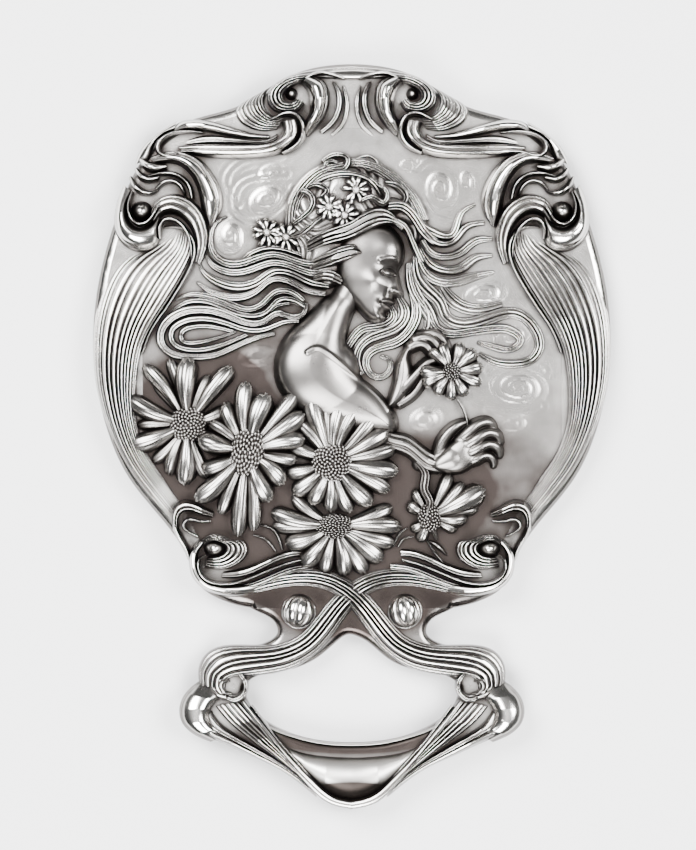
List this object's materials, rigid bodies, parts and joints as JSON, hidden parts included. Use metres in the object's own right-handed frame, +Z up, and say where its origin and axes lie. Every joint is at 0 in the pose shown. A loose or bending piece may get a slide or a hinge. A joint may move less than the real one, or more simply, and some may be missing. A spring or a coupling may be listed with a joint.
{
  "type": "hand mirror",
  "caption": "Silver hand mirror with an oval bevelled glass, a back struck in relief with a figure and flowers, and a looped finger handle.",
  "frame": {"origin": "centre of the bounding box in X and Y, on the surface the mirror lies on", "axes": "+Z up out of the decorated back, +Y from the handle's tip towards the top of the head, +X to the right seen from above; the glass faces -Z"},
  "size_m": [0.1738, 0.25, 0.02],
  "materials": {
    "silver_relief": "polished",
    "silver_ground": "satin",
    "silver_plain": "polished",
    "glass": "gloss",
    "silvering": "polished",
    "card": "matte",
    "paper": "matte",
    "felt": "matte",
    "board": "matte",
    "pitch": "satin"
  },
  "bodies": {
    "root": {"back_shell": "silver_ground", "backing_board": "board", "backing_paper": "paper", "bail_ribbon_left": "silver_relief", "bail_ribbon_right": "silver_relief", "bail_shield": "silver_relief", "bud_left": "silver_relief", "bud_right": "silver_relief", "card_packing": "card", "crossing_ribbon_over": "silver_relief", "crossing_ribbon_under": "silver_relief", "crown_daisy_left": "silver_relief", "crown_daisy_middle": "silver_relief", "crown_daisy_right": "silver_relief", "daisy_centre": "silver_relief", "daisy_far_left": "silver_relief", "daisy_in_hand": "silver_relief", "daisy_left": "silver_relief", "daisy_low": "silver_relief", "daisy_right": "silver_relief", "daisy_stem": "silver_relief", "felt_pad": "felt", "figure_head": "silver_relief", "figure_shoulder": "silver_relief", "hair_crown": "silver_relief", "hair_daisy_inner": "silver_relief", "hair_daisy_outer": "silver_relief", "hair_left": "silver_relief", "hair_right": "silver_relief", "hand_low": "silver_relief", "hand_raised": "silver_relief", "handle_front_shell": "silver_plain", "handle_rear_shell": "silver_plain", "knuckle_left": "silver_relief", "knuckle_right": "silver_relief", "low_scroll_left": "silver_relief", "low_scroll_right": "silver_relief", "mirror_glass": "glass", "pitch_filling": "pitch", "rim_frame": "silver_plain", "shoulder_scroll_left": "silver_relief", "shoulder_scroll_right": "silver_relief", "side_ribbon_left": "silver_relief", "side_ribbon_right": "silver_relief", "silvering": "silvering", "top_leaf_left": "silver_relief", "top_leaf_right": "silver_relief", "top_scroll_left": "silver_relief", "top_scroll_right": "silver_relief"}
  },
  "joints": []
}
